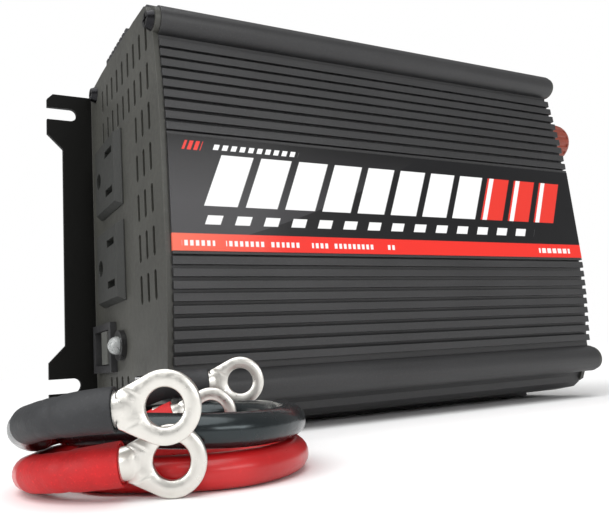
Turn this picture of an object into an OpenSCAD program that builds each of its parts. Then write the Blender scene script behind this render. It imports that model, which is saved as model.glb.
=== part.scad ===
// Compact 12 V power inverter with its pair of ring-lug battery leads.
// X runs along the case, from the outlet panel to the terminal panel.
// Y runs from the label face to the mounting flanges. Z is up.
// The case stands on its lower finned side at Z = 0.

/* [Case] */
// Length of the extruded case between the two end panels
case_len = 150; // [150:1:170]
// Thickness of the sheet-metal end panels
panel_t = 1.5; // [1:0.1:2]
// Reach of each mounting flange beyond its end panel
flange_reach = 15.8; // [14:0.1:20]
// Width of the open mounting slots
slot_w = 4.6; // [4.2:0.1:5]
// Number of fins on each side of the label
face_fins = 9; // [5:1:9]
// Number of fins on each long side
side_fins = 8; // [4:1:8]

/* [Front panel] */
// Spacing of the vent slots across the panel
vent_pitch_y = 5.82; // [5:0.01:6]
// Spacing of the vent rows
vent_pitch_z = 11.48; // [10:0.01:12]
// Distance between the two outlet centres
outlet_pitch = 28.8; // [26:0.1:30]
// How far the outlets stand out of the panel
outlet_proud = 2.5; // [1.5:0.1:4]
// Diameter of the indicator lens
led_d = 5.2; // [4:0.1:6]
// Tilt of the rocker each side of level
rocker_tilt = 11; // [6:1:14]

/* [Rear panel] */
// Diameter of the terminal studs
stud_d = 5; // [4:0.5:6]
// Diameter of the terminal knobs
knob_d = 15; // [13:0.5:17]
// Number of flutes round a knob
knob_flutes = 16; // [8:1:24]
// Number of fan blades
fan_blades = 7; // [5:1:9]

/* [Leads] */
// Outside diameter of a battery lead
lead_d = 5.2; // [4.2:0.1:5.2]
// Outside diameter of the heat-shrink sleeves
sleeve_d = 6.4; // [5.8:0.1:6.4]
// Radius of the outer turn of the coiled leads, at the middle of the lead
outer_turn_r = 22; // [22:0.1:22.5]
// Radius of the inner turn
inner_turn_r = 16.3; // [15.8:0.1:16.4]
// Width of a ring lug's eye
lug_w = 10; // [9:0.5:10]
// Diameter of the hole in a ring lug
lug_hole_d = 5.3; // [4.3:0.1:6]
// Thickness of a ring lug
lug_t = 1.4; // [1:0.1:1.4]

/* [Hidden] */
$fn = 48;

// Along the case
rear_face = case_len + 2 * panel_t;
case_end = case_len + panel_t;
knob_end = rear_face + 20.4;
x_mid = (knob_end - flange_reach) / 2;

// Across the depth
label_t = 0.8;
wall_foot_y = 71.9;
mount_y = 72.5;
face_boss = [4, 48.9];
face_boss_r = 4.2;
foot_boss = [64.7, 52.9];
foot_boss_r = 3.4;
y_mid = (mount_y + face_boss[0] - face_boss_r) / 2;

// Heights from the middle of the case
half_h = 61.5;
label_half = 15.24;
fin_start = 16.6;
fin_pitch = 3.05;
fin_w = 2;
fin_depth = 1.2;
side_fin_start = 31.5;
side_fin_depth = 1.3;
screw_r = 1.5;
channel_r = 1.6;
clearance_r = 1.8;

// Front panel layout, as depth and height
vent_first = [9.34, 46.5];
lower_vent_first = [36.2, -48.8];
outlet_c = [46.95, 3.2];
switch_c = [57.2, -36.1];
led_c = [40.4, -36];
usb_c = [21.3, -48.55];
switch_size = [21, 15];
rocker_size = [15.6, 10];
rocker_pivot_x = 0.5;

// Rear panel layout
positive_c = [18, 33.8];
negative_c = [46, 33.8];
terminals = [positive_c, negative_c];
terminal_base_t = 4;
washer_t = 1.2;
knob_start = rear_face + terminal_base_t + washer_t;
stud_start = case_end - 12.5;
bar_start = case_end - 8.1;
bar_t = 1.5;
bush_start = case_end - 2;
fan_c = [38.5, 0];
fan_w = 50;
fan_t = 15;
fan_start = case_end - fan_t - 0.1;
fan_hole = 20;
ground_c = [58, -38];

// Inside
board_y = 58;
board_t = 1.6;
plate_y = 68.3;
plate_t = 1.6;
board_x = [28, 130];
board_half = 50;
board_holes = [[34, 44], [124, 44], [34, -44], [124, -44]];
transformer_x = 82;
transformer_z = 19;
capacitor_x = 45;
capacitor_z = [-36, -16, 16, 36];
mosfet_x = [for (i = [0:5]) 36 + 15 * i];
clamp_screw_x = [43.5, 73.5, 103.5];
fuse_z = [18, 26, 34];
inductor_x = 113;

// Leads, in the frame of their coil: X to the right, Y towards the case
coil_centre = [-15, -35];
coil_turn = -27;
tube_sides = 10;
lug_reach = 7;
red_z = lead_d / 2 + 0.1;
black_z = red_z + lead_d + 0.2;
turn_from = 190;
turn_step = 24;
shift_from = -35;
shift_over = 75;

module in_case() {
    translate([-x_mid, -y_mid, half_h]) children();
}

// An extrusion along X of an outline given as [depth, height]
module along_x(x0, x1) {
    translate([x0, 0, 0]) rotate([90, 0, 90]) linear_extrude(x1 - x0) children();
}

// A rod along X, centred at a [depth, height]
module rod_x(x0, x1, at, r) {
    translate([x0, at[0], at[1]]) rotate([0, 90, 0]) cylinder(h = x1 - x0, r = r);
}

// A rod along Y, from one depth to another
module rod_y(y0, y1, x, z, r) {
    translate([x, y0, z]) rotate([-90, 0, 0]) cylinder(h = y1 - y0, r = r);
}

// A block between two depths and heights, centred at a [depth, height]
module block_x(x0, x1, at, size) {
    translate([x0, at[0] - size[0] / 2, at[1] - size[1] / 2])
        cube([x1 - x0, size[0], size[1]]);
}

// ---- Case -----------------------------------------------------------

// The label face falls away slightly towards its edges
function crown(z) = 2.3 * pow(max(0, z - label_half) / 26.6, 1.6);
function reversed(list) = [for (i = [len(list) - 1:-1:0]) list[i]];
function flipped(list) = [for (p = reversed(list)) [p[0], -p[1]]];

function face_fin(i) = let (z = fin_start + fin_pitch * i, y = crown(z + 1)) [
    [y + fin_depth, z], [y, z], [y, z + fin_w], [y + fin_depth, z + fin_w],
];
function side_fin(i) = let (y = side_fin_start + fin_pitch * i) [
    [y, half_h - side_fin_depth], [y, half_h],
    [y + fin_w, half_h], [y + fin_w, half_h - side_fin_depth],
];

shell_upper = concat(
    [[label_t, 15.3], [0.1, 15.3], [0.1, 16], [1.3, 16]],
    [for (i = [0:face_fins - 1]) each face_fin(i)],
    [[3.6, 43.2], [3.6, 45.5], [4.2, 52.4], [6.9, 52.6], [7.9, 53.4], [8.8, 54.6]],
    [[9.2, 56.6], [11.4, 58.2], [18.8, 59.4], [31.4, 59.8]],
    [for (i = [0:side_fins - 1]) each side_fin(i)],
    [[56.4, 57.6], [68.6, 57], [wall_foot_y, 54.4], [wall_foot_y, 48], [70, 48]],
    [[70, 54.3], [55.5, 54.3], [52, 56.6], [19.5, 56.6], [12.4, 55], [9, 50.5]],
    [[8.6, 45], [5.4, 42]]
);

module screw_channels(x0, x1, r) {
    for (side = [-1, 1]) {
        rod_x(x0, x1, [face_boss[0], side * face_boss[1]], r);
        rod_x(x0, x1, [foot_boss[0], side * foot_boss[1]], r);
    }
}

module heatsink_shell() {
    color("#3a3a3c") in_case() difference() {
        union() {
            along_x(panel_t, case_end) polygon(concat(shell_upper, flipped(shell_upper)));
            for (side = [-1, 1]) {
                rod_x(panel_t, case_end, [face_boss[0], side * face_boss[1]], face_boss_r);
                rod_x(panel_t, case_end, [foot_boss[0], side * foot_boss[1]], foot_boss_r);
            }
        }
        screw_channels(panel_t - 1, case_end + 1, channel_r);
        for (side = [-1, 1])
            for (x = clamp_screw_x)
                translate([x, 42, side * 55]) cylinder(h = 7, r = channel_r, center = true);
    }
}

module base_plate() {
    color("#4a4b4c") in_case()
        translate([panel_t + 0.2, plate_y, -54.2])
            cube([case_len - 0.4, plate_t, 108.4]);
}

module label_plate() {
    color("#1c1c1e") in_case()
        translate([panel_t, 0, -label_half])
            cube([case_len, label_t, 2 * label_half]);
}

// Upper half of a panel's outline, with its label-side edge set back by some depth
function panel_upper(back) = [
    [1 + back, 0], [1 + back, 16], [1.8 + back, 30], [3.4 + back, 43.5],
    [3.6 + back, 45.2], [4.4, 52], [7.2, 53],
    [8.4, 55.6], [10, 56.4], [20, 57], [56, 57.2], [68.4, 56.6], [71.2, 54.2],
    [mount_y, 54.2], [mount_y, 0],
];

// The fin tips stand past the rear panel's edge
rear_panel_back = 1.3;

// The flange, drawn as [distance beyond the panel's inner face, height]
flange_upper = [
    [0, 0], [0, 54.2], [flange_reach - 2, 54.2], [flange_reach, 52.2],
    [flange_reach, 39.4], [flange_reach - 5.4, 34], [flange_reach - 5.4, 0],
];

// An L-shaped end panel whose outer face is at X = 0 and whose flange runs to -X
module end_panel_sheet(back = 0) {
    outline = panel_upper(back);
    along_x(0, panel_t) polygon(concat(outline, flipped(outline)));
    for (side = [-1, 1])
        rod_x(0, panel_t, [face_boss[0], side * face_boss[1]], 3.8);
    translate([panel_t, mount_y, 0]) rotate([90, 0, 0]) linear_extrude(panel_t)
        polygon([for (p = concat(flange_upper, flipped(flange_upper)))
            [-p[0] - (p[0] > 0 ? panel_t : 0), p[1]]]);
}

// Open slots in the flange's ears
module flange_slots() {
    for (side = [-1, 1]) {
        rod_y(mount_y - 3, mount_y + 1, -flange_reach + 8, side * 47, slot_w / 2);
        translate([-flange_reach - 2, mount_y - 3, side * 47 - slot_w / 2])
            cube([10, 4, slot_w]);
    }
}

module vent_slot(at) {
    block_x(-1, panel_t + 1, at, [2, 6]);
    for (side = [-1, 1]) rod_x(-1, panel_t + 1, [at[0], at[1] + side * 3], 1);
}

module front_panel() {
    color("#4a4b46") in_case() difference() {
        end_panel_sheet();
        flange_slots();
        screw_channels(-1, panel_t + 1, clearance_r);
        for (row = [0:6])
            for (column = [0:(row < 2 ? 8 : 2)])
                vent_slot([vent_first[0] + vent_pitch_y * column,
                    vent_first[1] - vent_pitch_z * row]);
        for (column = [0:3])
            vent_slot([lower_vent_first[0] + vent_pitch_y * column, lower_vent_first[1]]);
        for (side = [-1, 1])
            block_x(-1, panel_t + 1, outlet_at(side), [22.6, 22.6]);
        block_x(-1, panel_t + 1, switch_c, [19.2, 13.2]);
        rod_x(-1, panel_t + 1, led_c, 3.6);
        block_x(-1, panel_t + 1, usb_c, [14.2, 6.9]);
    }
}

module rear_panel() {
    color("#3c3c3b") in_case() difference() {
        translate([rear_face, 0, 0]) mirror([1, 0, 0]) end_panel_sheet(rear_panel_back);
        translate([rear_face, 0, 0]) mirror([1, 0, 0]) flange_slots();
        screw_channels(case_end - 1, rear_face + 1, clearance_r);
        rod_x(case_end - 1, rear_face + 1, fan_c, 23);
        for (a = [-1, 1])
            for (b = [-1, 1])
                rod_x(case_end - 1, rear_face + 1,
                    [fan_c[0] + a * fan_hole, b * fan_hole], clearance_r);
        for (c = terminals) rod_x(case_end - 1, rear_face + 1, c, 4.6);
        rod_x(case_end - 1, rear_face + 1, ground_c, 2.1);
    }
}

// A pan-head screw along +X from x0, with its head on the low side
module pan_screw(x0, at, shank_len, head_r = 2.9) {
    translate([x0, at[0], at[1]]) rotate([0, 90, 0]) difference() {
        union() {
            translate([0, 0, -1.9]) cylinder(h = 1.9, r1 = head_r - 0.8, r2 = head_r);
            cylinder(h = shank_len, r = screw_r);
        }
        for (turn = [0, 90])
            rotate(turn) translate([-1.6, -0.35, -2]) cube([3.2, 0.7, 1.1]);
    }
}

module front_panel_screws() {
    color("#1b1b1c") in_case() for (side = [-1, 1]) {
        pan_screw(0, [face_boss[0], side * face_boss[1]], 9);
        pan_screw(0, [foot_boss[0], side * foot_boss[1]], 9);
    }
}

module rear_panel_screws() {
    color("#1b1b1c") in_case() translate([rear_face, 0, 0]) mirror([1, 0, 0])
        for (side = [-1, 1]) {
            pan_screw(0, [face_boss[0], side * face_boss[1]], 9);
            pan_screw(0, [foot_boss[0], side * foot_boss[1]], 9);
        }
}

// ---- Front panel fittings --------------------------------------------

function outlet_at(side) = [outlet_c[0], outlet_c[1] + side * outlet_pitch / 2];

blade_y = -4.65;
ground_y = 7.25;
blade_z = 6.35;

module outlet(side) {
    at = outlet_at(side);
    difference() {
        union() {
            block_x(-0.01, 16, at, [22.2, 22.2]);
            hull() {
                block_x(-0.4, 0, at, [24, 24]);
                block_x(-outlet_proud, -0.4, at, [21.6, 21.6]);
            }
        }
        for (pole = [-1, 1]) {
            block_x(-outlet_proud - 1, 12, [at[0] + blade_y, at[1] + pole * blade_z],
                [7.9, 2.2]);
            block_x(0.5, 13, [at[0] + blade_y, at[1] + pole * blade_z], [8.6, 4.6]);
        }
        rod_x(-outlet_proud - 1, 0.6, [at[0] + ground_y - 0.3, at[1]], 2.6);
        rod_x(0.5, 13, [at[0] + ground_y - 0.3, at[1]], 3.1);
    }
}

module outlet_upper() {
    color("#3b3c3b") in_case() outlet(1);
}

module outlet_lower() {
    color("#3b3c3b") in_case() outlet(-1);
}

// Spring leaves that grip each blade, and the sleeve that grips the earth pin
module outlet_contacts() {
    color("#c8c6bd") in_case() for (side = [-1, 1]) {
        at = outlet_at(side);
        for (pole = [-1, 1]) {
            c = [at[0] + blade_y, at[1] + pole * blade_z];
            for (leaf = [-1, 1])
                block_x(0.8, 12.2, [c[0], c[1] + leaf * 1.75], [7.6, 0.5]);
            block_x(12.2, 12.9, c, [7.6, 4]);
        }
        difference() {
            rod_x(0.8, 12.5, [at[0] + ground_y - 0.3, at[1]], 3);
            rod_x(0, 11.5, [at[0] + ground_y - 0.3, at[1]], 2.5);
        }
    }
}

module switch_housing() {
    color("#2b2c2c") in_case() difference() {
        union() {
            block_x(-2, 0, switch_c, switch_size);
            block_x(-0.01, 15, switch_c, [18.8, 12.8]);
        }
        block_x(-3, 8, switch_c, [rocker_size[0] + 1, rocker_size[1] + 0.6]);
        translate([rocker_pivot_x, switch_c[0], switch_c[1]])
            cylinder(h = 12.6, r = 1.05, center = true);
    }
}

// The paddle is drawn level, as [depth, outward], then set to its resting tilt
module switch_rocker() {
    color("#46483f") in_case()
        translate([rocker_pivot_x, switch_c[0], switch_c[1]]) rotate(-rocker_tilt) {
            cylinder(h = 12.2, r = 1, center = true);
            rotate(90) linear_extrude(rocker_size[1], center = true) polygon([
                [-7.2, -3.4], [7.2, -3.4], [7.7, 1.3], [3.2, 1.9],
                [0, 2.4], [-3.2, 1.9], [-7.7, 1.3],
            ]);
        }
}

module led_bezel() {
    color("#141414") in_case() difference() {
        union() {
            rod_x(-1.6, 0, led_c, 4.4);
            rod_x(-0.01, 4, led_c, 3.5);
        }
        rod_x(-3, 5, led_c, led_d / 2 + 0.05);
    }
}

module led_lens() {
    color("#c9cdcb") in_case() {
        rod_x(-2, 6, led_c, led_d / 2);
        translate([-2, led_c[0], led_c[1]]) sphere(r = led_d / 2);
    }
}

module usb_shell() {
    color("#c4c6c8") in_case() difference() {
        block_x(-0.5, 14, usb_c, [13.8, 6.5]);
        block_x(-1, 13.5, usb_c, [12.8, 5.5]);
    }
}

module usb_tongue() {
    color("#1d1d1d") in_case() block_x(0.6, 13.5, [usb_c[0], usb_c[1] + 1.4], [11.4, 1.9]);
}

module usb_board() {
    color("#1f5a3a") in_case() translate([2, 12, -45.2]) cube([18, 19, 1.5]);
}

// ---- Rear panel fittings ----------------------------------------------

module fan_frame() {
    color("#202122") in_case() {
        difference() {
            block_x(fan_start, case_end - 0.1, fan_c, [fan_w, fan_w]);
            rod_x(fan_start - 1, case_end, fan_c, 23.2);
            for (a = [-1, 1])
                for (b = [-1, 1])
                    rod_x(fan_start - 1, case_end,
                        [fan_c[0] + a * fan_hole, b * fan_hole], 1.65);
        }
        rod_x(fan_start, fan_start + 1.6, fan_c, 12);
        rod_x(fan_start + 1.5, fan_start + 11, fan_c, 1.5);
        for (turn = [0:3])
            translate([fan_start, fan_c[0], fan_c[1]]) rotate([45 + 90 * turn, 0, 0])
                translate([0, 11, -1.5]) cube([1.6, 13, 3]);
    }
}

module fan_rotor() {
    color("#2a2b2c") in_case() translate([fan_start + 2, fan_c[0], fan_c[1]])
        difference() {
            union() {
                rotate([0, 90, 0]) cylinder(h = 12, r = 11);
                for (i = [0:fan_blades - 1])
                    rotate([360 / fan_blades * i, 0, 0])
                        translate([6, 10.5, 0]) rotate([0, 48, 0])
                            translate([-6.2, 0, -0.6]) cube([12.4, 11.8, 1.2]);
            }
            translate([-1, 0, 0]) rotate([0, 90, 0]) cylinder(h = 11, r = 1.55);
        }
}

guard_t = 1.6;
guard_w = 1.5;

// Concentric rings on four arms, with an eyelet at each corner of the fan
module fan_guard() {
    color("#b9bbbd") in_case() translate([rear_face + 0.1, fan_c[0], fan_c[1]])
        rotate([0, 90, 0]) difference() {
            union() {
                for (r = [6, 12, 18, 24]) difference() {
                    cylinder(h = guard_t, r = r);
                    translate([0, 0, -1]) cylinder(h = guard_t + 2, r = r - guard_w);
                }
                for (turn = [0:3]) rotate(45 + 90 * turn) {
                    translate([5, -guard_w / 2, 0]) cube([21, guard_w, guard_t]);
                    translate([fan_hole * sqrt(2), 0, 0]) cylinder(h = guard_t, r = 3.6);
                }
            }
            for (turn = [0:3]) rotate(45 + 90 * turn)
                translate([fan_hole * sqrt(2), 0, -1]) cylinder(h = 4, r = clearance_r);
        }
}

module fan_screws() {
    color("#2b2b2d") in_case() translate([rear_face + 1.7, 0, 0]) mirror([1, 0, 0])
        for (a = [-1, 1])
            for (b = [-1, 1])
                pan_screw(0, [fan_c[0] + a * fan_hole, b * fan_hole], 13);
}

module terminal_studs() {
    color("#c9a54a") in_case() for (c = terminals)
        rod_x(stud_start, knob_end - 6, c, stud_d / 2);
}

module hex_nut(x0, x1, at) {
    difference() {
        translate([x0, at[0], at[1]]) rotate([0, 90, 0])
            cylinder(h = x1 - x0, r = 4.6, $fn = 6);
        rod_x(x0 - 1, x1 + 1, at, stud_d / 2 + 0.05);
    }
}

module terminal_nuts() {
    color("#c9c7bf") in_case() for (c = terminals) {
        hex_nut(stud_start + 1, bar_start - 0.1, c);
        hex_nut(bar_start + bar_t + 0.1, bush_start - 0.1, c);
    }
}

module terminal_base(at) {
    difference() {
        union() {
            rod_x(rear_face, rear_face + terminal_base_t, at, 9);
            rod_x(bush_start, rear_face + 0.01, at, 4.5);
        }
        rod_x(stud_start, rear_face + 10, at, stud_d / 2 + 0.05);
    }
}

module positive_terminal_base() {
    color("#a8321f") in_case() terminal_base(positive_c);
}

module negative_terminal_base() {
    color("#161616") in_case() terminal_base(negative_c);
}

module terminal_washer(at) {
    difference() {
        rod_x(rear_face + terminal_base_t, knob_start, at, 6.5);
        rod_x(rear_face, knob_start + 1, at, stud_d / 2 + 0.08);
    }
}

module positive_washer() {
    color("#c9c7bf") in_case() terminal_washer(positive_c);
}

module negative_washer() {
    color("#c9c7bf") in_case() terminal_washer(negative_c);
}

knob_len = knob_end - knob_start;
knob_dome = 3.5;

// Fluted body with a domed end, turned about the stud
module terminal_knob(at) {
    translate([knob_start, at[0], at[1]]) rotate([0, 90, 0]) difference() {
        rotate_extrude() polygon(concat(
            [[0, 0], [knob_d / 2 - 0.8, 0], [knob_d / 2, 0.8]],
            [for (a = [0:15:75]) [
                knob_d / 2 - knob_dome + knob_dome * cos(a),
                knob_len - knob_dome + knob_dome * sin(a),
            ]],
            [[knob_d / 2 - knob_dome, knob_len], [0, knob_len]]
        ));
        for (i = [0:knob_flutes - 1])
            rotate(360 / knob_flutes * i) translate([knob_d / 2 + 0.5, 0, -1])
                cylinder(h = knob_len - 2, r = 0.9, $fn = 24);
        translate([0, 0, -1]) cylinder(h = knob_len - 3, r = stud_d / 2 + 0.08);
    }
}

module positive_knob() {
    color("#b0402a") in_case() terminal_knob(positive_c);
}

module negative_knob() {
    color("#1a1a1a") in_case() terminal_knob(negative_c);
}

module ground_screw() {
    color("#c2b26a") in_case() {
        rod_x(rear_face - 6, rear_face + 8, ground_c, 2);
        for (x = [rear_face, rear_face + 3.4])
            translate([x, ground_c[0], ground_c[1]]) rotate([0, 90, 0])
                cylinder(h = 3, r = 4, $fn = 6);
        rod_x(rear_face + 2.9, rear_face + 3.5, ground_c, 4.6);
    }
}

// ---- Inside --------------------------------------------------------------

positive_bar_z = 46.5;

// The positive bar passes above the negative stud on its way to the board
module dc_busbars() {
    bar_end = bar_start + bar_t;
    color("#b87333") in_case() {
        difference() {
            union() {
                block_x(bar_start, bar_end, [18, 39.65], [10, 21.7]);
                block_x(bar_start, bar_end, [35.4, positive_bar_z], [45, 8]);
            }
            rod_x(bar_start - 1, bar_end + 1, positive_c, stud_d / 2 + 0.05);
        }
        block_x(128, bar_end, [board_y - 0.9, positive_bar_z], [1.6, 8]);
        difference() {
            block_x(bar_start, bar_end, [49.4, negative_c[1]], [17, 10]);
            rod_x(bar_start - 1, bar_end + 1, negative_c, stud_d / 2 + 0.05);
        }
        block_x(122, bar_end, [board_y - 0.9, negative_c[1]], [1.6, 10]);
    }
}

module circuit_board() {
    color("#1f6b3f") in_case() difference() {
        translate([board_x[0], board_y, -board_half])
            cube([board_x[1] - board_x[0], board_t, 2 * board_half]);
        for (h = board_holes) rod_y(board_y - 1, board_y + 3, h[0], h[1], 1.7);
    }
}

module board_standoffs() {
    color("#cdb56a") in_case() for (h = board_holes) difference() {
        translate([h[0], board_y + board_t, h[1]]) rotate([-90, 0, 0])
            cylinder(h = plate_y - board_y - board_t, r = 3, $fn = 6);
        rod_y(board_y, plate_y - 1, h[0], h[1], screw_r + 0.05);
    }
}

module board_screws() {
    color("#c9c7bf") in_case() for (h = board_holes) {
        rod_y(board_y - 1.8, board_y, h[0], h[1], 2.6);
        rod_y(board_y - 0.1, board_y + 6, h[0], h[1], screw_r);
    }
}

module insulator_sheet() {
    color("#d9d6c4") in_case() difference() {
        translate([8, 67.5, -47]) cube([124, 0.7, 94]);
        for (h = board_holes) rod_y(66, 70, h[0], h[1], 3.8);
    }
}

core_size = [30, 28, 26];

module transformer_cores() {
    color("#3b3a38") in_case() for (side = [-1, 1])
        translate([transformer_x, board_y - core_size[1] / 2, side * transformer_z])
            difference() {
                cube(core_size, center = true);
                for (end = [-1, 1])
                    translate([end * 8.2, 0, 0])
                        cube([6.4, 18, core_size[2] + 1], center = true);
            }
}

module transformer_windings() {
    color("#c07a3a") in_case() for (side = [-1, 1])
        translate([transformer_x, board_y - core_size[1] / 2, side * transformer_z])
            difference() {
                cube([22.4, 17.6, core_size[2] + 5], center = true);
                cube([10.2, 18, core_size[2] + 0.2], center = true);
                for (end = [-1, 1])
                    translate([end * 14.4, 0, 0])
                        cube([6, 18.4, core_size[2] + 0.2], center = true);
            }
}

module capacitors() {
    color("#23324f") in_case() for (z = capacitor_z) {
        rod_y(board_y - 30, board_y, capacitor_x, z, 8);
        rod_y(board_y - 30.6, board_y - 29.9, capacitor_x, z, 7);
    }
}

module on_side_walls() {
    for (side = [0, 1]) mirror([0, 0, side]) children();
}

module mosfets() {
    color("#1d1d1f") in_case() on_side_walls() for (x = mosfet_x) {
        translate([x - 5, 35, 51.9]) cube([10, 9.5, 4.3]);
        translate([x - 5, 29, 54.9]) cube([10, 6.1, 1.3]);
        for (leg = [-1, 0, 1])
            translate([x + leg * 2.54 - 0.4, 44.4, 53.2]) cube([0.8, 8, 0.6]);
    }
}

module thermal_pads() {
    color("#9aa0a6") in_case() on_side_walls() for (x = mosfet_x)
        translate([x - 5.5, 28.5, 56.2]) cube([11, 17, 0.4]);
}

module clamp_bars() {
    color("#b5b7b9") in_case() on_side_walls() difference() {
        translate([30, 37, 49.9]) cube([87, 7, 2]);
        for (x = clamp_screw_x)
            translate([x, 42, 49]) cylinder(h = 4, r = channel_r);
    }
}

module clamp_screws() {
    color("#8d8f92") in_case() on_side_walls() for (x = clamp_screw_x)
        translate([x, 42, 0]) {
            translate([0, 0, 48]) cylinder(h = 1.9, r = 2.6);
            translate([0, 0, 49.8]) cylinder(h = 8.2, r = screw_r);
        }
}

module fuse_holders() {
    color("#1e1e20") in_case() for (z = fuse_z) difference() {
        translate([101, board_y - 10, z - 3.2]) cube([20, 10, 6.4]);
        translate([102.4, board_y - 11, z - 2.2]) cube([17.2, 7, 4.4]);
    }
}

module fuses() {
    color("#e0b23a") in_case() for (z = fuse_z) {
        translate([102.8, board_y - 15, z - 1.9]) cube([16.4, 9, 3.8]);
        for (end = [0, 1])
            translate([103.6 + end * 10, board_y - 6.1, z - 0.4]) cube([4.8, 2, 0.8]);
    }
}

module inductor_core() {
    color("#c9b23a") in_case() translate([inductor_x, board_y - 6, 0]) rotate([90, 0, 0])
        rotate_extrude() translate([8.5, 0]) square([4, 8], center = true);
}

// Turns of wire wound through the ring, each a closed rectangular loop
module inductor_winding() {
    color("#b5622c") in_case() translate([inductor_x, board_y - 6, 0]) rotate([90, 0, 0])
        for (a = [0:20:340]) rotate(a) translate([8.5, 0, 0]) rotate([90, 0, 0])
            difference() {
                cube([6.6, 10.6, 1.5], center = true);
                cube([4.1, 8.1, 2], center = true);
            }
}

module control_board() {
    color("#25764a") in_case() {
        translate([59, 36, -30]) cube([1.5, 22, 60]);
        for (z = [-20, -4, 12]) translate([57.4, 42, z]) cube([1.61, 8, 9]);
    }
}

module buzzer() {
    color("#151515") in_case() difference() {
        rod_y(board_y - 9, board_y, 110, -30, 6);
        rod_y(board_y - 10, board_y - 7, 110, -30, 1.2);
    }
}

module internal_wires() {
    color("#8a2f25") in_case() {
        for (side = [-1, 1])
            for (pole = [-1, 1]) {
                z = outlet_at(side)[1] + pole * blade_z;
                rod_x(16.05, 33, [44, z], 1.1);
                translate([33, 44, z]) sphere(r = 1.1);
                rod_y(44, board_y, 33, z, 1.1);
            }
        for (wire = [-1, 1]) {
            z = switch_c[1] + wire * 3;
            rod_x(15.05, 31, [54, z], 1.1);
            translate([31, 54, z]) sphere(r = 1.1);
            rod_y(54, board_y, 31, z, 1.1);
        }
    }
}

// ---- Battery leads ---------------------------------------------------------

module in_coil() {
    in_case() translate([coil_centre[0], coil_centre[1], -half_h]) rotate(coil_turn)
        children();
}

function clamp01(t) = min(1, max(0, t));
function smooth(t) = let (c = clamp01(t)) c * c * (3 - 2 * c);
function unit(v) = v / norm(v);

// How far the route has moved from the outer turn to the inner one
function inward(a) = smooth((shift_from - a) / shift_over);
function turn_r(a) = outer_turn_r - (outer_turn_r - inner_turn_r) * inward(a);
function around(a, r, z) = [r * cos(a), r * sin(a), z];

function turn_points(count, z, inner_rise) = [for (k = [0:count - 1])
    let (a = turn_from - turn_step * k)
    around(a, turn_r(a), z + inner_rise * inward(a))];

// Outer turn, then a first part of the inner turn, which ends under the back tail
black_route = concat(
    [[-3.4, -26.3, 12.8], [-8.8, -25.8, 12.5], [-14.2, -23.1, 11.8], [-18.6, -17.6, 10.8]],
    [[-21, -11.4, 9.6]],
    turn_points(16, black_z, 1),
    [[-12.7, 9.8, 10.7], [-8.6, 15.6, 12.7], [-3.6, 20.5, 14.2], [1.6, 23.4, 14.4]],
    [[6.4, 24.4, 14.4]]
);

// Outer turn, then an inner turn that climbs inside the coil to its lug
red_route = concat(
    [[-3.4, -22.4, 5.1], [-9, -21.9, 4.6], [-14.6, -19.2, 4], [-18.8, -14.4, 3.4]],
    [[-21.1, -9.2, 2.9]],
    turn_points(14, red_z, 0),
    [[-14.9, -4.2, 2.7], [-15, 1.4, 2.8], [-13.7, 6.2, 3.4], [-10.9, 10, 4.7]],
    [[-7.2, 12.3, 6.1], [-3.4, 13.1, 7.4], [0.4, 13.2, 8.7]]
);

function tangent(route, i) =
    unit(route[min(i + 1, len(route) - 1)] - route[max(i - 1, 0)]);

// One ring of points round the route, square to it
function tube_ring(route, i, r) =
    let (t = tangent(route, i), s = unit(cross(t, [0, 0, 1])), u = cross(s, t))
    [for (k = [0:tube_sides - 1]) let (a = 360 / tube_sides * k)
        route[i] + r * cos(a) * s + r * sin(a) * u];

// A closed tube along the route from one of its points to another
module tube(route, from, to, r) {
    rings = to - from + 1;
    polyhedron(
        points = [for (i = [from:to]) each tube_ring(route, i, r)],
        faces = concat(
            [[for (k = [0:tube_sides - 1]) k]],
            [for (i = [0:rings - 2]) for (k = [0:tube_sides - 1])
                let (n = (k + 1) % tube_sides, a = i * tube_sides, b = a + tube_sides)
                [a + k, b + k, b + n, a + n]],
            [[for (k = [tube_sides - 1:-1:0]) (rings - 1) * tube_sides + k]]
        ),
        convexity = 6
    );
}

black_last = len(black_route) - 1;
red_last = len(red_route) - 1;
sleeve_points = 3;

// A ring lug drawn along +X from its sleeve, flat in X and Z, its tongue set aside
module ring_lug(offset_y) {
    rotate([0, 90, 0]) translate([0, 0, -6]) cylinder(h = 7.2, r = 2.3);
    difference() {
        union() {
            translate([0.4, offset_y - lug_t / 2, -2.4]) cube([lug_reach, lug_t, 4.8]);
            translate([lug_reach, offset_y + lug_t / 2, 0]) rotate([90, 0, 0])
                cylinder(h = lug_t, r = lug_w / 2);
        }
        translate([lug_reach, offset_y + 2, 0]) rotate([90, 0, 0])
            cylinder(h = 4, r = lug_hole_d / 2);
    }
}

module black_lead() {
    color("#111416") in_coil()
        tube(black_route, sleeve_points, black_last - sleeve_points, lead_d / 2);
}

module red_lead() {
    color("#c8161d") in_coil()
        tube(red_route, sleeve_points, red_last - sleeve_points, lead_d / 2);
}

module black_sleeve_front() {
    color("#26282a") in_coil() tube(black_route, 0, sleeve_points, sleeve_d / 2);
}

module black_sleeve_back() {
    color("#26282a") in_coil()
        tube(black_route, black_last - sleeve_points, black_last, sleeve_d / 2);
}

module red_sleeve_front() {
    color("#b01218") in_coil() tube(red_route, 0, sleeve_points, sleeve_d / 2);
}

module red_sleeve_back() {
    color("#b01218") in_coil()
        tube(red_route, red_last - sleeve_points, red_last, sleeve_d / 2);
}

module black_lug_front() {
    color("#d8d6d0") in_coil() translate(black_route[0]) ring_lug(-1.4);
}

module red_lug_front() {
    color("#d8d6d0") in_coil() translate(red_route[0]) ring_lug(0.4);
}

module black_lug_back() {
    color("#d8d6d0") in_coil() translate(black_route[black_last]) ring_lug(-0.6);
}

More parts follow.
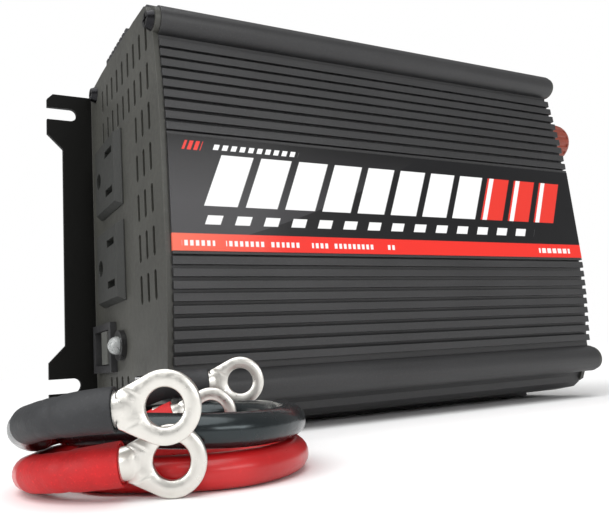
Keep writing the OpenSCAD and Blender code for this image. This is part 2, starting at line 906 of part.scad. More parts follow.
module red_lug_back() {
    color("#d8d6d0") in_coil() translate(red_route[red_last]) ring_lug(0.6);
}

heatsink_shell();
base_plate();
front_panel();
rear_panel();
label_plate();
front_panel_screws();
rear_panel_screws();
outlet_upper();
outlet_lower();
outlet_contacts();
switch_housing();
switch_rocker();
led_bezel();
led_lens();
usb_shell();
usb_tongue();
usb_board();
fan_frame();
fan_rotor();
fan_guard();
fan_screws();
terminal_studs();
terminal_nuts();
positive_terminal_base();
negative_terminal_base();
positive_washer();
negative_washer();
positive_knob();
negative_knob();
ground_screw();
dc_busbars();
circuit_board();
board_standoffs();
board_screws();
insulator_sheet();
transformer_cores();
transformer_windings();
capacitors();
mosfets();
thermal_pads();
clamp_bars();
clamp_screws();
fuse_holders();
fuses();
inductor_core();
inductor_winding();
control_board();
buzzer();
internal_wires();
black_lead();
red_lead();
black_sleeve_front();
black_sleeve_back();
red_sleeve_front();
red_sleeve_back();
black_lug_front();
black_lug_back();
red_lug_front();
red_lug_back();
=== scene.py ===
import math

import bpy
from mathutils import Matrix, Vector


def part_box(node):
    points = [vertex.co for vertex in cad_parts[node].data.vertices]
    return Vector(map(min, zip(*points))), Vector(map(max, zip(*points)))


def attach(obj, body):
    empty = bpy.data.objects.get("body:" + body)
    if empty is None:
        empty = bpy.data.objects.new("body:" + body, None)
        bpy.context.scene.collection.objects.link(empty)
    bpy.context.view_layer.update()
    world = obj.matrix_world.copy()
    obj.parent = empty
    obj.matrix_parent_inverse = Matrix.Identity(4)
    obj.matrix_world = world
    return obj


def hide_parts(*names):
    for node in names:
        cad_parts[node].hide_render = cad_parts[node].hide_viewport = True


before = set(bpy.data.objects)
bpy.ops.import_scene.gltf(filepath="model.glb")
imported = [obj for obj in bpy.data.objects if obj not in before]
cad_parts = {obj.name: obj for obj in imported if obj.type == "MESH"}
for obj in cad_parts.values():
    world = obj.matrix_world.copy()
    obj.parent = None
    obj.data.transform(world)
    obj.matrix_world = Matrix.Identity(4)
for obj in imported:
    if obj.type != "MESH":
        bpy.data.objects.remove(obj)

MM = 0.001
scene = bpy.context.scene
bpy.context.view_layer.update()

# The drawing frame of the case: X from the outlet panel's outer face, Y from the label
# face into the case, Z from the middle of its height, all in millimetres.
plate_low, plate_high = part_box("label_plate")
PANEL_T = 1.5
case_origin = Vector((plate_low.x - PANEL_T * MM, plate_low.y, (plate_low.z + plate_high.z) / 2))


def at(x, y, z):
    """A point of the case's drawing frame, in the shared frame."""
    return case_origin + Vector((x, y, z)) * MM


# ---- Camera -------------------------------------------------------------------

def add_camera():
    azimuth, elevation, roll = (math.radians(a) for a in (25.65, 11.854, -3.692))
    forward = Vector((
        math.sin(azimuth) * math.cos(elevation),
        math.cos(azimuth) * math.cos(elevation),
        math.sin(elevation),
    ))
    level = Vector((forward.y, -forward.x, 0)).normalized()
    right = math.cos(roll) * level + math.sin(roll) * level.cross(forward)
    up = right.cross(forward)
    data = bpy.data.cameras.new("camera")
    data.sensor_width, data.lens = 36, 38.355
    data.shift_x, data.shift_y = 0.134, -0.0515
    data.clip_start, data.clip_end = 0.005, 20
    camera = bpy.data.objects.new("camera", data)
    camera.matrix_world = Matrix.Translation(at(-55.17, -147.16, -43.83)) @ Matrix(
        (right, up, -forward)
    ).transposed().to_4x4()
    scene.collection.objects.link(camera)
    scene.camera = camera


add_camera()


# ---- Procedural surfaces --------------------------------------------------------

class Surface:
    """One procedural material. Constant values go straight on the shader's sockets."""

    def __init__(self, name, **sockets):
        self.material = bpy.data.materials.new(name)
        self.material.use_nodes = True
        self.tree = self.material.node_tree
        self.shader = self.tree.nodes["Principled BSDF"]
        for socket, value in sockets.items():
            self.shader.inputs[socket.replace("_", " ")].default_value = value
        self.place = self.tree.nodes.new("ShaderNodeTexCoord").outputs["Object"]

    def feed(self, socket, value):
        if isinstance(value, bpy.types.NodeSocket):
            self.tree.links.new(value, socket)
        else:
            socket.default_value = value

    def calc(self, operation, a, b=0.0, clamp=False):
        node = self.tree.nodes.new("ShaderNodeMath")
        node.operation, node.use_clamp = operation, clamp
        self.feed(node.inputs[0], a)
        self.feed(node.inputs[1], b)
        return node.outputs[0]

    def stretched(self, x, y, z):
        node = self.tree.nodes.new("ShaderNodeMapping")
        node.inputs["Scale"].default_value = (x, y, z)
        self.feed(node.inputs["Vector"], self.place)
        return node.outputs[0]

    def noise(self, scale, detail=3.0, roughness=0.55, vector=None):
        node = self.tree.nodes.new("ShaderNodeTexNoise")
        node.inputs["Scale"].default_value = scale
        node.inputs["Detail"].default_value = detail
        node.inputs["Roughness"].default_value = roughness
        self.feed(node.inputs["Vector"], vector or self.place)
        return node.outputs[0]

    def cells(self, scale, vector=None):
        node = self.tree.nodes.new("ShaderNodeTexVoronoi")
        node.inputs["Scale"].default_value = scale
        self.feed(node.inputs["Vector"], vector or self.place)
        return node.outputs["Distance"]

    def remap(self, value, low, high, from_low=0.25, from_high=0.75):
        node = self.tree.nodes.new("ShaderNodeMapRange")
        for socket, number in zip(node.inputs, (value, from_low, from_high, low, high)):
            self.feed(socket, number)
        return node.outputs[0]

    def mix(self, factor, a, b):
        node = self.tree.nodes.new("ShaderNodeMix")
        node.data_type = "RGBA"
        self.feed(node.inputs[0], factor)
        for socket, colour in ((node.inputs[6], a), (node.inputs[7], b)):
            if isinstance(colour, tuple):
                socket.default_value = (*colour, 1)
            else:
                self.tree.links.new(colour, socket)
        return node.outputs[2]

    def combined(self, x):
        node = self.tree.nodes.new("ShaderNodeCombineXYZ")
        self.feed(node.inputs[0], x)
        return node.outputs[0]

    def edges(self, radius):
        """A rounded normal, and how far it turns away from the face: 1 at an edge. The finishes lighten
        colour by this mask, partly as rubbed wear and partly as painted highlight along the edges.
        """
        bevel = self.tree.nodes.new("ShaderNodeBevel")
        bevel.samples = 4
        bevel.inputs["Radius"].default_value = radius
        geometry = self.tree.nodes.new("ShaderNodeNewGeometry")
        dot = self.tree.nodes.new("ShaderNodeVectorMath")
        dot.operation = "DOT_PRODUCT"
        self.tree.links.new(bevel.outputs[0], dot.inputs[0])
        self.tree.links.new(geometry.outputs["Normal"], dot.inputs[1])
        edge_wear_and_highlight = self.calc("MULTIPLY", self.calc("SUBTRACT", 1.0, dot.outputs["Value"]), 6.0, True)
        return bevel.outputs[0], edge_wear_and_highlight

    def finish(self, colour, roughness, height=None, depth=0.0, normal=None):
        self.feed(self.shader.inputs["Base Color"], colour)
        self.feed(self.shader.inputs["Roughness"], roughness)
        if height is not None:
            bump = self.tree.nodes.new("ShaderNodeBump")
            bump.inputs["Distance"].default_value = depth
            bump.inputs["Strength"].default_value = 1.0
            self.feed(bump.inputs["Height"], height)
            if normal is not None:
                self.tree.links.new(normal, bump.inputs["Normal"])
            normal = bump.outputs[0]
        if normal is not None:
            self.tree.links.new(normal, self.shader.inputs["Normal"])
        return self.material


def shade(colour, factor):
    """A colour made lighter or darker."""
    return tuple(min(1.0, c * factor) for c in colour)


def coated(name, colour, roughness, grain=2600, depth=0.00002, spread=0.22, edge=0.0003,
           flange=None, **sockets):
    """Powder coat: fine grain, soft blotches and edges lightened, partly as rubbed wear and
    partly as painted highlight. With flange, the span of X between the two flanges, all that
    lies outside it is darker and duller: painted shade on the flanges."""
    s = Surface(name, **sockets)
    blotches = s.remap(s.noise(70, 2), 0.0, 1.0)
    speckle = s.noise(grain, 2)
    base = s.mix(blotches, shade(colour, 1 - spread), shade(colour, 1 + spread))
    base = s.mix(s.remap(speckle, 0.0, 0.55, 0.55, 0.75), base, shade(colour, 1.9))
    normal, edge_wear_and_highlight = s.edges(edge)
    # Painted highlight along the edges, with some rubbed wear: the edge mask lightens the colour.
    base = s.mix(s.calc("MULTIPLY", edge_wear_and_highlight, 0.45), base, shade(colour, 2.6))
    if flange:
        split = s.tree.nodes.new("ShaderNodeSeparateXYZ")
        s.feed(split.inputs[0], s.place)
        x = split.outputs["X"]
        before = s.calc("LESS_THAN", x, flange[0])
        flange_painted_shade = s.calc("MAXIMUM", before, s.calc("GREATER_THAN", x, flange[1]))
        # Painted shade: outside the span the paint goes near-black and less specular, standing in for the
        # shade on the flanges.
        base = s.mix(flange_painted_shade, base, shade(colour, 0.1))
        s.feed(s.shader.inputs["Specular IOR Level"], s.remap(flange_painted_shade, 0.5, 0.12, 0.0, 1.0))
    rough = s.remap(s.noise(grain / 5, 3), roughness - 0.07, roughness + 0.07)
    return s.finish(base, rough, speckle, depth, normal)


def extruded(name, colour, roughness):
    """Black anodised extrusion: die lines along the case under a fine grain."""
    s = Surface(name, Specular_IOR_Level=0.5)
    lines = s.noise(900, 3, 0.6, s.stretched(0.02, 1, 1))
    grain = s.noise(3200, 2)
    blotches = s.remap(s.noise(45, 2), 0.0, 1.0)
    base = s.mix(blotches, shade(colour, 0.82), shade(colour, 1.15))
    base = s.mix(s.remap(grain, 0.0, 0.5, 0.5, 0.75), base, shade(colour, 2.2))
    normal, edge_wear_and_highlight = s.edges(0.00025)
    # Painted highlight along the fin and panel edges, with some rubbed wear: the edge mask lightens the
    # colour threefold.
    base = s.mix(s.calc("MULTIPLY", edge_wear_and_highlight, 0.5), base, shade(colour, 3.0))
    height = s.calc("ADD", s.calc("MULTIPLY", lines, 0.6), grain)
    return s.finish(base, s.remap(lines, roughness - 0.08, roughness + 0.1), height, 0.00002, normal)


def moulded(name, colour, roughness, grain=2200, depth=0.00003, spread=0.12, **sockets):
    """Moulded plastic with a spark-eroded texture."""
    s = Surface(name, **sockets)
    pits = s.cells(grain)
    flow = s.remap(s.noise(120, 2), 0.0, 1.0)
    base = s.mix(flow, shade(colour, 1 - spread), shade(colour, 1 + spread))
    base = s.mix(s.remap(pits, 0.35, 0.0, 0.1, 0.7), base, shade(colour, 1.8))
    normal, edge_wear_and_highlight = s.edges(0.0002)
    # Painted highlight along the edges, with some rubbed wear: the edge mask lightens the colour.
    base = s.mix(s.calc("MULTIPLY", edge_wear_and_highlight, 0.25), base, shade(colour, 2.0))
    rough = s.remap(s.noise(400, 2), roughness - 0.06, roughness + 0.06)
    return s.finish(base, rough, pits, depth, normal)


def metal(name, colour, roughness, stretch=(1, 1, 1), grain=1500, depth=0.000012, stain=0.15, **sockets):
    """Bare or plated metal with tool marks along one axis and faint staining."""
    s = Surface(name, Metallic=1.0, **sockets)
    marks = s.noise(grain, 3, 0.6, s.stretched(*stretch))
    stains = s.remap(s.noise(140, 3), 0.0, 1.0)
    base = s.mix(stains, colour, shade(colour, 1 - stain))
    normal, edge_wear_and_highlight = s.edges(0.00015)
    # Painted highlight along the edges, with some rubbed wear: the edge mask lightens the colour.
    base = s.mix(s.calc("MULTIPLY", edge_wear_and_highlight, 0.3), base, shade(colour, 1.25))
    rough = s.remap(marks, max(0.05, roughness - 0.1), roughness + 0.12)
    return s.finish(base, rough, marks, depth, normal)


def drawn_wire(name, colour, pitch):
    """Enamelled copper wound in close turns, with painted shade in the gaps between turns."""
    s = Surface(name, Metallic=0.6, Coat_Weight=0.4)
    wave = s.tree.nodes.new("ShaderNodeTexWave")
    wave.bands_direction = "Z"
    wave.inputs["Scale"].default_value = 0.5 / pitch
    wave.inputs["Distortion"].default_value = 0.6
    s.feed(wave.inputs["Vector"], s.place)
    wires = wave.outputs["Fac"]
    # Painted shade: the colour falls to a third where the wave bands run low, in the gaps between turns.
    base = s.mix(wires, shade(colour, 0.35), colour)
    return s.finish(base, s.remap(s.noise(900, 2), 0.28, 0.42), wires, 0.00008)


def board(name, colour):
    """Solder mask over faint copper tracks."""
    s = Surface(name, Coat_Weight=0.5, Coat_Roughness=0.2)
    tracks = s.cells(260)
    ways = s.remap(tracks, 0.0, 1.0, 0.28, 0.32)
    base = s.mix(ways, shade(colour, 1.45), colour)
    base = s.mix(s.remap(s.noise(2500, 1), 0.0, 0.4, 0.6, 0.8), base, shade(colour, 0.5))
    return s.finish(base, s.remap(s.noise(700, 2), 0.3, 0.45), ways, 0.00003)


def glossy_lead(name, colour, roughness, tint):
    """Soft PVC jacket: a light sheen, faint scuffs and the slight waviness of the strands."""
    s = Surface(
        name, Specular_IOR_Level=0.4, Coat_Weight=0.2, Coat_Roughness=0.16,
        Specular_Tint=(*tint, 1), IOR=1.54,
    )
    scuffs = s.noise(260, 4, 0.65)
    haze = s.remap(s.noise(60, 2), 0.0, 1.0)
    base = s.mix(haze, shade(colour, 0.8), shade(colour, 1.2))
    base = s.mix(s.remap(scuffs, 0.0, 0.3, 0.6, 0.75), base, shade(colour, 2.4))
    rough = s.remap(scuffs, roughness - 0.05, roughness + 0.14)
    return s.finish(base, rough, s.noise(420, 2), 0.00006)


def shrunk(name, colour):
    """Matt heat-shrink tube: fine wrinkles, darker in their troughs and lighter on their crests as
    painted shade and highlight, dust and a dull sheen.
    """
    s = Surface(name, Specular_IOR_Level=0.35)
    wrinkles = s.noise(330, 4, 0.6)
    dust = s.noise(2400, 2)
    # Painted shade and highlight: the colour follows the wrinkles' height, darker in the troughs and
    # lighter on the crests.
    base = s.mix(s.remap(wrinkles, 0.0, 1.0), shade(colour, 0.82), shade(colour, 1.18))
    base = s.mix(s.remap(dust, 0.0, 0.35, 0.58, 0.75), base, shade(colour, 2.0))
    height = s.calc("ADD", wrinkles, s.calc("MULTIPLY", dust, 0.15))
    return s.finish(base, s.remap(wrinkles, 0.5, 0.68), height, 0.00022)


def lens(name):
    """Frosted, slightly smoky indicator dome."""
    s = Surface(name, Transmission_Weight=0.55, IOR=1.5, Coat_Weight=0.6, Coat_Roughness=0.05)
    frost = s.noise(1500, 3)
    base = s.mix(s.remap(frost, 0.0, 1.0), (0.52, 0.55, 0.54), (0.78, 0.80, 0.79))
    return s.finish(base, s.remap(frost, 0.22, 0.38), frost, 0.00003)


# ---- Label --------------------------------------------------------------------

def printed_label(name):
    """Printed film in generic shapes: a grey field cut by a glossy black sweep, slanted
    white bars with red ones at their end, dashes under them and a red band with ticks."""
    s = Surface(name, Specular_IOR_Level=0.3, Coat_Weight=0.12, Coat_Roughness=0.12)
    split = s.tree.nodes.new("ShaderNodeSeparateXYZ")
    s.feed(split.inputs[0], s.place)
    x = s.calc("DIVIDE", s.calc("SUBTRACT", split.outputs["X"], case_origin.x), MM)
    z = s.calc("DIVIDE", s.calc("SUBTRACT", split.outputs["Z"], case_origin.z), MM)
    lean = s.calc("SUBTRACT", x, s.calc("MULTIPLY", z, 0.42))

    def between(value, low, high, soft=0.06):
        rise = s.remap(value, 0.0, 1.0, low - soft, low + soft)
        fall = s.remap(value, 1.0, 0.0, high - soft, high + soft)
        return s.calc("MULTIPLY", rise, fall)

    def both(*masks):
        result = masks[0]
        for mask in masks[1:]:
            result = s.calc("MULTIPLY", result, mask)
        return result

    def repeated(value, pitch, share):
        """1 over the first share of every pitch."""
        part = s.calc("FRACT", s.calc("DIVIDE", value, pitch))
        return between(part, 0.0, share, 0.012)

    glow = s.remap(z, 0.0, 1.0, 14.5, -2.0)
    field = s.mix(glow, (0.004, 0.004, 0.0045), (0.034, 0.033, 0.036))
    sweep_start = 22.9
    run = s.calc("SUBTRACT", x, sweep_start)
    sweep = s.calc("ADD", s.calc("MULTIPLY", run, 0.29),
                   s.calc("MULTIPLY", s.calc("MULTIPLY", run, run), 0.0021))
    below = s.calc("LESS_THAN", z, s.calc("ADD", sweep, -10.7))
    ahead = s.calc("GREATER_THAN", x, sweep_start)
    black = s.calc("MULTIPLY", below, ahead)
    art = s.mix(black, field, (0.004, 0.004, 0.005))

    def row(bottom, top, start, end, first, pitch, share):
        """Slanted marks from start to end, one each pitch, counted from first."""
        marks = repeated(s.calc("SUBTRACT", lean, first), pitch, share)
        return both(between(z, bottom, top), between(lean, start, end), marks)

    white, grey_white, red = (0.87, 0.87, 0.87), (0.85, 0.85, 0.85), (0.74, 0.035, 0.022)
    bar_bottom, bar_top, bar_pitch = -3.4, 10.6, 12
    accent_start, accent_end = 108, 141.6
    for mask, colour in (
        (row(bar_bottom, bar_top, 12, accent_start, 12, bar_pitch, 0.8), white),
        (row(bar_bottom, bar_top, accent_start, accent_end, accent_start, bar_pitch, 0.8), red),
        (row(bar_bottom, bar_top, accent_start, accent_end, accent_start + 0.8, bar_pitch, 0.16), white),
        (row(-8.3, -5.9, 14, 133, 14, 8.5, 0.52), grey_white),
        (row(11.9, 13.4, 9, 35, 9, 2.6, 0.6), grey_white),
        (row(11.4, 13.9, 0.4, 5.6, 0, 1.8, 0.62), red),
    ):
        art = s.mix(mask, art, colour)

    pale = s.remap(x, 0.55, 0.0, 2.0, 34.0)
    band = s.mix(pale, (0.80, 0.028, 0.018), (0.86, 0.22, 0.12))
    art = s.mix(between(z, -16, -10.75), art, band)
    pale_print = (0.88, 0.82, 0.80)
    ticks = both(between(z, -13.9, -12.5), between(x, 4, 71), repeated(x, 1.55, 0.6))
    gaps = s.calc("GREATER_THAN", s.noise(0.16, 1, 0.5, s.combined(x)), 0.44)
    art = s.mix(both(ticks, gaps), art, pale_print)
    last = both(between(z, -13.8, -12.2), between(x, 131, 146), repeated(x, 2.5, 0.72))
    art = s.mix(last, art, pale_print)

    normal, edge_wear_and_highlight = s.edges(0.0002)
    # Painted highlight along the label's edges, with some rubbed wear: the edge mask lightens them
    # towards grey.
    art = s.mix(s.calc("MULTIPLY", edge_wear_and_highlight, 0.3), art, (0.2, 0.2, 0.2))
    fine = s.noise(1800, 2)
    rough = s.remap(fine, 0.3, 0.42)
    return s.finish(art, rough, fine, 0.000006, normal)


FINISHES = {
    "heatsink": extruded("heatsink", (0.024, 0.024, 0.025), 0.42),
    # The panel's flanges, outside the given span, get painted shade.
    "panel": coated(
        "panel", (0.044, 0.044, 0.038), 0.46,
        flange=(plate_low.x - (PANEL_T + 0.1) * MM, plate_high.x + (PANEL_T + 0.1) * MM),
    ),
    "plate": coated("plate", (0.09, 0.09, 0.092), 0.5),
    "label": printed_label("label"),
    "screw": metal("screw", (0.028, 0.028, 0.030), 0.3),
    "outlet": moulded("outlet", (0.018, 0.019, 0.017), 0.5),
    "contact": metal("contact", (0.78, 0.74, 0.62), 0.28, (1, 0.1, 1)),
    "switch": moulded("switch", (0.022, 0.022, 0.023), 0.4),
    "rocker": moulded("rocker", (0.075, 0.077, 0.070), 0.5, 2600, 0.00005),
    "bezel": moulded("bezel", (0.012, 0.012, 0.012), 0.3),
    "lens": lens("lens"),
    "usb": metal("usb", (0.80, 0.80, 0.82), 0.2, (0.1, 1, 1)),
    "tongue": moulded("tongue", (0.014, 0.014, 0.014), 0.4),
    "board": board("board", (0.012, 0.14, 0.055)),
    "fan": moulded("fan", (0.016, 0.016, 0.017), 0.38),
    "guard": metal("guard", (0.62, 0.62, 0.63), 0.26, (1, 1, 1), 900),
    "brass": metal("brass", (0.72, 0.52, 0.20), 0.26, (0.05, 1, 1)),
    "zinc": metal("zinc", (0.66, 0.66, 0.64), 0.34),
    "red_plastic": moulded("red_plastic", (0.24, 0.042, 0.022), 0.42),
    "black_plastic": moulded("black_plastic", (0.014, 0.014, 0.014), 0.34),
    "copper": metal("copper", (0.78, 0.36, 0.19), 0.3, (1, 0.1, 1)),
    "paper": coated("paper", (0.62, 0.59, 0.46), 0.75, 900, 0.00003, 0.06),
    "ferrite": coated("ferrite", (0.055, 0.052, 0.050), 0.55, 1300),
    "winding": drawn_wire("winding", (0.66, 0.28, 0.10), 0.0011),
    "film": moulded("film", (0.020, 0.035, 0.095), 0.25, 500, 0.00001),
    "package": moulded("package", (0.015, 0.015, 0.016), 0.45),
    "pad": moulded("pad", (0.32, 0.34, 0.36), 0.7, 900),
    "fuse": moulded("fuse", (0.72, 0.42, 0.06), 0.25, 500, 0.00001, Transmission_Weight=0.3),
    "toroid": coated("toroid", (0.56, 0.46, 0.06), 0.5, 900),
    "wire_red": glossy_lead("wire_red", (0.36, 0.02, 0.015), 0.35, (1, 1, 1)),
    "lead_black": glossy_lead("lead_black", (0.0085, 0.0105, 0.0115), 0.2, (0.80, 0.96, 1.0)),
    "lead_red": glossy_lead("lead_red", (0.52, 0.010, 0.012), 0.3, (1.0, 0.92, 0.92)),
    "sleeve_black": shrunk("sleeve_black", (0.026, 0.027, 0.029)),
    "sleeve_red": shrunk("sleeve_red", (0.47, 0.012, 0.014)),
    "lug": metal("lug", (0.80, 0.78, 0.73), 0.34, (1, 1, 1), 1100, 0.00002, 0.12),
}

WEARS = {
    "heatsink": ["heatsink_shell"],
    "panel": ["front_panel", "rear_panel"],
    "plate": ["base_plate"],
    "label": ["label_plate"],
    "screw": ["front_panel_screws", "rear_panel_screws", "fan_screws"],
    "outlet": ["outlet_upper", "outlet_lower"],
    "contact": ["outlet_contacts"],
    "switch": ["switch_housing"],
    "rocker": ["switch_rocker"],
    "bezel": ["led_bezel"],
    "lens": ["led_lens"],
    "usb": ["usb_shell"],
    "tongue": ["usb_tongue"],
    "board": ["usb_board", "circuit_board", "control_board"],
    "fan": ["fan_frame", "fan_rotor"],
    "guard": ["fan_guard"],
    "brass": ["terminal_studs", "ground_screw", "board_standoffs"],
    "zinc": [
        "terminal_nuts", "positive_washer", "negative_washer", "board_screws", "clamp_bars",
        "clamp_screws",
    ],
    "red_plastic": ["positive_terminal_base", "positive_knob"],
    "black_plastic": ["negative_terminal_base", "negative_knob", "buzzer", "fuse_holders"],
    "copper": ["dc_busbars"],
    "paper": ["insulator_sheet"],
    "ferrite": ["transformer_cores"],
    "winding": ["transformer_windings", "inductor_winding"],
    "film": ["capacitors"],
    "package": ["mosfets"],
    "pad": ["thermal_pads"],
    "fuse": ["fuses"],
    "toroid": ["inductor_core"],
    "wire_red": ["internal_wires"],
    "lead_black": ["black_lead"],
    "lead_red": ["red_lead"],
    "sleeve_black": ["black_sleeve_front", "black_sleeve_back"],
    "sleeve_red": ["red_sleeve_front", "red_sleeve_back"],
    "lug": ["black_lug_front", "black_lug_back", "red_lug_front", "red_lug_back"],
}
for finish, nodes in WEARS.items():
    for node in nodes:
        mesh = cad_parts[node].data
        mesh.materials.clear()
        mesh.materials.append(FINISHES[finish])


# ---- Battery leads ----------------------------------------------------------------

# The coil has a frame of its own, in millimetres: it turns about Z and stands on the floor.
COIL = (-15, -35)
COIL_TURN = math.radians(-27)
FLOOR_Z = -61.5
LEAD_D = 5.2
OUTER_R, INNER_R = 22, 16.3
RED_Z = LEAD_D / 2 + 0.1
BLACK_Z = RED_Z + LEAD_D + 0.2
SLEEVE_POINTS = 3


def from_coil(p):
    """A point of the coil's own frame, in the shared frame."""
    c, s = math.cos(COIL_TURN), math.sin(COIL_TURN)
    return at(COIL[0] + p[0] * c - p[1] * s, COIL[1] + p[0] * s + p[1] * c, FLOOR_Z + p[2])


def turns(count, z, inner_rise):
    """Points 24 degrees apart, from the outer turn to the inner one."""
    points = []
    for k in range(count):
        a = 190 - 24 * k
        t = min(1, max(0, (-35 - a) / 75))
        inward = t * t * (3 - 2 * t)
        r = OUTER_R - (OUTER_R - INNER_R) * inward
        points.append((
            r * math.cos(math.radians(a)), r * math.sin(math.radians(a)), z + inner_rise * inward,
        ))
    return points


BLACK_ROUTE = [
    (-3.4, -26.3, 12.8), (-8.8, -25.8, 12.5), (-14.2, -23.1, 11.8), (-18.6, -17.6, 10.8),
    (-21, -11.4, 9.6), *turns(16, BLACK_Z, 1),
    (-12.7, 9.8, 10.7), (-8.6, 15.6, 12.7), (-3.6, 20.5, 14.2), (1.6, 23.4, 14.4), (6.4, 24.4, 14.4),
]
RED_ROUTE = [
    (-3.4, -22.4, 5.1), (-9, -21.9, 4.6), (-14.6, -19.2, 4), (-18.8, -14.4, 3.4),
    (-21.1, -9.2, 2.9), *turns(14, RED_Z, 0),
    (-14.9, -4.2, 2.7), (-15, 1.4, 2.8), (-13.7, 6.2, 3.4), (-10.9, 10, 4.7),
    (-7.2, 12.3, 6.1), (-3.4, 13.1, 7.4), (0.4, 13.2, 8.7),
]


def smoothed(points, steps):
    """Catmull-Rom points through a route."""
    line = []
    for i in range(len(points) - 1):
        p0, p1, p2, p3 = (points[max(0, min(len(points) - 1, i + k))] for k in (-1, 0, 1, 2))
        for k in range(steps):
            t = k / steps
            line.append(0.5 * (
                2 * p1 + (p2 - p0) * t + (2 * p0 - 5 * p1 + 4 * p2 - p3) * t * t
                + (3 * p1 - p0 - 3 * p2 + p3) * t * t * t
            ))
    line.append(points[-1].copy())
    return line


def length_of(line):
    """The length of a line of points."""
    return sum((b - a).length for a, b in zip(line, line[1:]))


def make_lead(name, route, finish):
    """The round jacket, one smooth curve from lug to lug."""
    line = smoothed(route, 4)
    curve = bpy.data.curves.new(name, "CURVE")
    curve.dimensions = "3D"
    curve.bevel_depth = LEAD_D / 2 * MM
    curve.bevel_resolution = 9
    curve.use_fill_caps = True
    spline = curve.splines.new("POLY")
    spline.points.add(len(line) - 1)
    for point, place in zip(spline.points, line):
        point.co = (*place, 1)
    spline.use_smooth = True
    curve.materials.append(FINISHES[finish])
    piece = bpy.data.objects.new(name, curve)
    scene.collection.objects.link(piece)
    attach(piece, "case")
    return piece


def mesh_piece(name, vertices, faces, finish):
    """A smooth-shaded object of its own, with one of the finishes."""
    mesh = bpy.data.meshes.new(name)
    mesh.from_pydata([tuple(v) for v in vertices], [], faces)
    mesh.materials.append(FINISHES[finish])
    mesh.validate()
    for polygon in mesh.polygons:
        polygon.use_smooth = True
    piece = bpy.data.objects.new(name, mesh)
    scene.collection.objects.link(piece)
    return piece


def frames_of(line):
    """Each point of a line with two directions across it."""
    frames = []
    for i, place in enumerate(line):
        ahead = (line[min(i + 1, len(line) - 1)] - line[max(i - 1, 0)]).normalized()
        side = ahead.cross(Vector((0, 0, 1))).normalized()
        frames.append((place, side, side.cross(ahead)))
    return frames


def skin(frames, sections):
    """Vertices and faces of a closed skin over one section of points per frame."""
    vertices, faces = [], []
    count, last = len(sections[0]), (len(frames) - 1) * len(sections[0])
    for (place, side, up), section in zip(frames, sections):
        vertices += [place + (u * side + v * up) * MM for u, v in section]
    for a in range(0, last, count):
        for k in range(count):
            n = (k + 1) % count
            faces.append((a + k, a + n, a + count + n, a + count + k))
    faces.append(tuple(range(count))[::-1])
    faces.append(tuple(last + k for k in range(count)))
    return vertices, faces


def ring_section(r, flat, dents, phase, count=40):
    """A round section, flattened across by flat and dented by two soft lobes."""
    points = []
    for k in range(count):
        a = 2 * math.pi * k / count
        rr = r * (1 - dents * (0.5 + 0.5 * math.cos(2 * a + phase)))
        points.append((rr * math.cos(a) * flat, rr * math.sin(a)))
    return points


def make_sleeve(name, route, finish, seed):
    """Heat-shrink tube from its mouth at route[0]. It swells over the lug's barrel, is
    tight on the jacket with a few soft creases, and its mouth is a thin open lip."""
    line = smoothed(route, 12)
    total, run, sections = length_of(line), 0.0, []
    for i in range(len(line)):
        run += (line[i] - line[i - 1]).length if i else 0.0
        t = run / total
        barrel = 1 / (1 + math.exp((t - 0.4) / 0.035))
        r = 2.86 + 0.3 * barrel + 0.03 * math.sin(13 * t + seed)
        r -= 0.13 * math.exp(-((t - 0.44) / 0.03) ** 2) + 0.07 * math.exp(-((t - 0.6) / 0.02) ** 2)
        r -= 0.24 * max(0, (t - 0.95) / 0.05)
        sections.append(ring_section(min(r, 3.18), 1 - 0.05 * barrel, 0.02 + 0.03 * barrel, seed + 3 * t))
    frames = frames_of(line)
    place, side, up = frames[0]
    depth = (line[1] - line[0]).normalized()
    lip = [(place + depth * back * MM, side, up) for back in (2.4, 0.05)]
    mouth = [[(u * share, v * share) for u, v in sections[0]] for share in (0.84, 0.88)]
    vertices, faces = skin(lip + frames, mouth + sections)
    return mesh_piece(name, vertices, faces, finish)


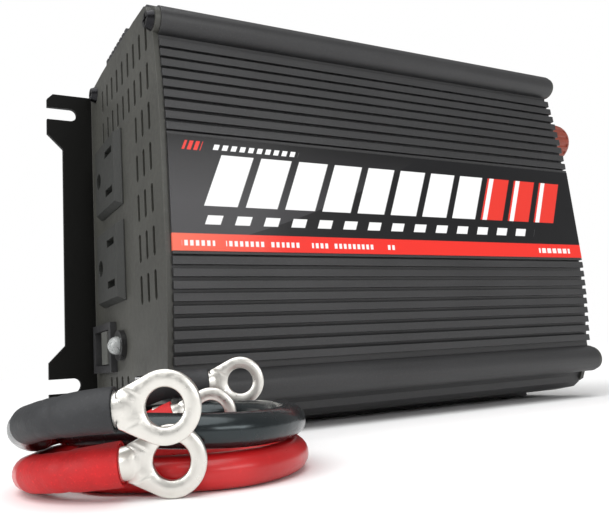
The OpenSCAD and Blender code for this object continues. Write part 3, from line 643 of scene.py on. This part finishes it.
def make_lug(name, route, offset):
    """A ring lug at route[0]: a barrel in the sleeve, a flattened neck and a teardrop palm
    with rounded edges round its hole. It lies upright, along the coil's own X."""
    start = from_coil((0, 0, 0))
    along = (from_coil((1, 0, 0)) - start).normalized()
    across = (from_coil((0, 1, 0)) - start).normalized()
    vertices, faces = [], []
    reach, eye, hole, half_t, rim = 7.0, 5.0, 2.65, 0.7, 0.2
    neck = Vector((-(reach - 0.4), 2.4))
    corner = math.atan2(neck.y, neck.x)
    touch = corner - math.acos(eye / neck.length)

    def put(u, v, w):
        vertices.append(route[0] + (along * u + across * v + Vector((0, 0, w))) * MM)

    def palm_radius(a):
        a = abs(a)
        if a < touch:
            return eye
        return eye / math.cos(a - touch) if a < corner else neck.x / math.cos(a)

    def join(first, second, count):
        for k in range(count):
            n = (k + 1) % count
            faces.append((first + k, first + n, second + n, second + k))

    count = 72
    angles = [2 * math.pi * (k + 0.5) / count - math.pi for k in range(count)]
    outer = [palm_radius(a) for a in angles]
    inner = [hole] * count
    loops = (
        (outer, -rim, half_t), (outer, 0, half_t - rim), (outer, 0, rim - half_t), (outer, -rim, -half_t),
        (inner, rim, -half_t), (inner, 0, rim - half_t), (inner, 0, half_t - rim), (inner, rim, half_t),
    )
    for radii, grow, v in loops:
        for a, r in zip(angles, radii):
            put(reach + (r + grow) * math.cos(a), offset + v, (r + grow) * math.sin(a))
    for row in range(len(loops)):
        join(row * count, (row + 1) % len(loops) * count, count)
    base, sides = len(vertices), 32
    barrel = (
        (-4.4, 1.95, 1.95, 0), (-1.6, 2.3, 2.3, 0), (-0.2, 2.1, 2.35, 0.2), (0.9, 1.3, 2.4, 0.7),
        (1.9, 0.75, 2.35, 1), (2.6, 0.68, 2.2, 1),
    )
    for u, thick, w, share in barrel:
        for k in range(sides):
            a = 2 * math.pi * k / sides
            put(u, offset * share + thick * math.cos(a), w * math.sin(a))
    for row in range(len(barrel) - 1):
        join(base + row * sides, base + (row + 1) * sides, sides)
    faces.append(tuple(base + k for k in range(sides))[::-1])
    faces.append(tuple(len(vertices) - sides + k for k in range(sides)))
    piece = mesh_piece(name, vertices, faces, "lug")
    piece.data.set_sharp_from_angle(angle=math.radians(50))
    return piece


def make_cord(colour, route, offsets):
    """One lead with a sleeve and a lug at each end. Offsets set each lug off its axis."""
    lead = make_lead(f"{colour}_jacket", route, f"lead_{colour}")
    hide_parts(f"{colour}_lead")
    pieces = []
    for end, part, seed in (("front", route, 1.3), ("back", route[::-1], 2.9)):
        part = part[:SLEEVE_POINTS + 1]
        sleeve = make_sleeve(f"{colour}_shrink_{end}", part, f"sleeve_{colour}", seed)
        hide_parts(f"{colour}_sleeve_{end}")
        lug = make_lug(f"{colour}_eye_{end}", part, offsets[end])
        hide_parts(f"{colour}_lug_{end}")
        pieces += [sleeve, lug]
    for piece in pieces:
        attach(piece, "case")


make_cord("black", [from_coil(p) for p in BLACK_ROUTE], {"front": -1.4, "back": -0.6})
make_cord("red", [from_coil(p) for p in RED_ROUTE], {"front": 0.4, "back": 0.6})


# ---- Room, light and output ----------------------------------------------------------

def add_floor():
    """A wide pale floor at the object's feet."""
    floor = Surface("floor", Specular_IOR_Level=0.0)
    tone = floor.remap(floor.noise(9, 2), 0.0, 1.0)
    material = floor.finish(floor.mix(tone, (0.94, 0.94, 0.94), (0.97, 0.97, 0.97)), 0.95)
    size = 30
    corners = [(-size, -size, 0), (size, -size, 0), (size, size, 0), (-size, size, 0)]
    mesh = bpy.data.meshes.new("floor")
    mesh.from_pydata(corners, [], [(0, 1, 2, 3)])
    mesh.materials.append(material)
    piece = bpy.data.objects.new("floor", mesh)
    scene.collection.objects.link(piece)


def add_world(strength):
    """Soft even light of this strength. The camera sees plain white behind the floor."""
    world = bpy.data.worlds.new("studio")
    world.use_nodes = True
    tree = world.node_tree
    soft = tree.nodes["Background"]
    soft.inputs["Color"].default_value = (1, 1, 1, 1)
    soft.inputs["Strength"].default_value = strength
    white = tree.nodes.new("ShaderNodeBackground")
    white.inputs["Color"].default_value = (1, 1, 1, 1)
    path = tree.nodes.new("ShaderNodeLightPath")
    pick = tree.nodes.new("ShaderNodeMixShader")
    tree.links.new(path.outputs["Is Camera Ray"], pick.inputs[0])
    tree.links.new(soft.outputs[0], pick.inputs[1])
    tree.links.new(white.outputs[0], pick.inputs[2])
    tree.links.new(pick.outputs[0], tree.nodes["World Output"].inputs["Surface"])
    scene.world = world


def add_lamp(name, kind, place, power, **settings):
    """A lamp at a place, turned towards the middle of the case."""
    data = bpy.data.lights.new(name, kind)
    data.energy = power
    for setting, value in settings.items():
        setattr(data, setting, value)
    lamp = bpy.data.objects.new(name, data)
    lamp.location = place
    lamp.rotation_mode = "QUATERNION"
    lamp.rotation_quaternion = (Vector((0, 0, 0.05)) - Vector(place)).to_track_quat("-Z", "Y")
    scene.collection.objects.link(lamp)


add_floor()
add_lamp("sky", "SUN", (-0.5, -0.35, 1.6), 2.5, angle=math.radians(70))
add_lamp("front", "AREA", (0.15, -1.1, 0.35), 3.0, shape="RECTANGLE", size=0.8, size_y=0.25)
add_lamp("side", "AREA", (-0.9, -0.25, 0.35), 3.0, shape="RECTANGLE", size=0.4, size_y=0.3)
add_world(0.33)
scene.view_settings.view_transform = "Standard"
